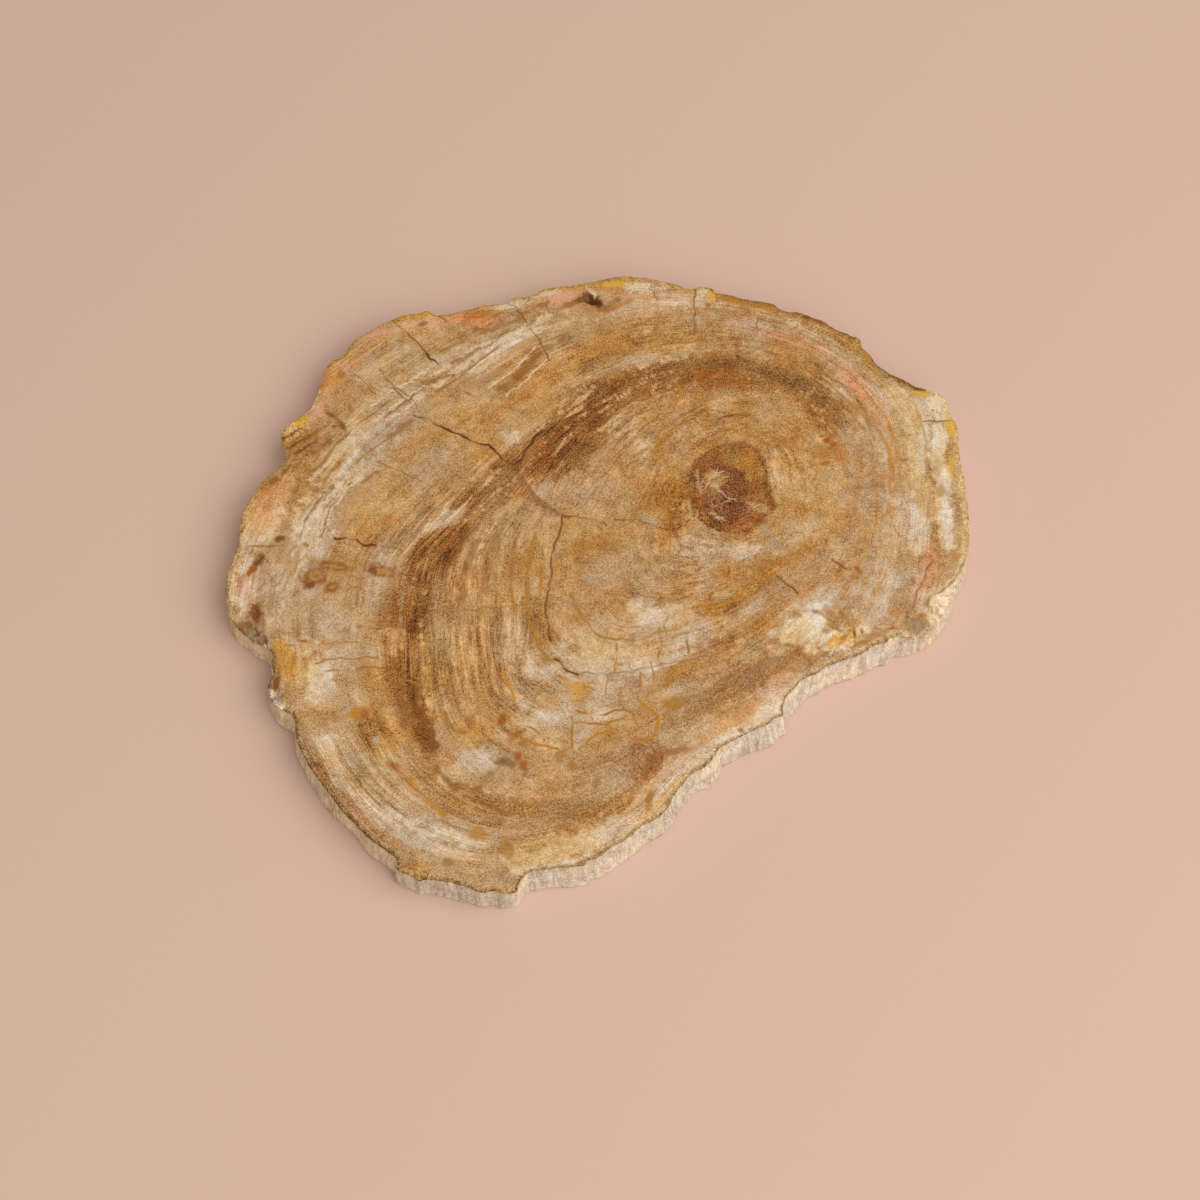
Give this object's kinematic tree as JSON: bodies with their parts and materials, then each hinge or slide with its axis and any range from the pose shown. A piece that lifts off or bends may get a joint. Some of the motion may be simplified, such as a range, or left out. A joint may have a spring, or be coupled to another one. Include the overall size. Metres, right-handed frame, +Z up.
{
  "type": "petrified wood cutting board",
  "caption": "Flat slab of petrified wood with a polished top, a sawn underside and a broken natural edge, used as a cutting or serving board.",
  "frame": {"origin": "middle of the slab's box, on the plane that its sawn underside rests on", "axes": "+X along the slab's greatest length, +Y across it, +Z up through its thickness from the sawn underside to the polished face"},
  "size_m": [0.4, 0.3756, 0.02],
  "materials": {
    "petrified_wood": "polished to a satin on top, sawn underneath, natural broken edge"
  },
  "bodies": {
    "root": {"petrified_wood_board": "petrified_wood"}
  },
  "joints": []
}
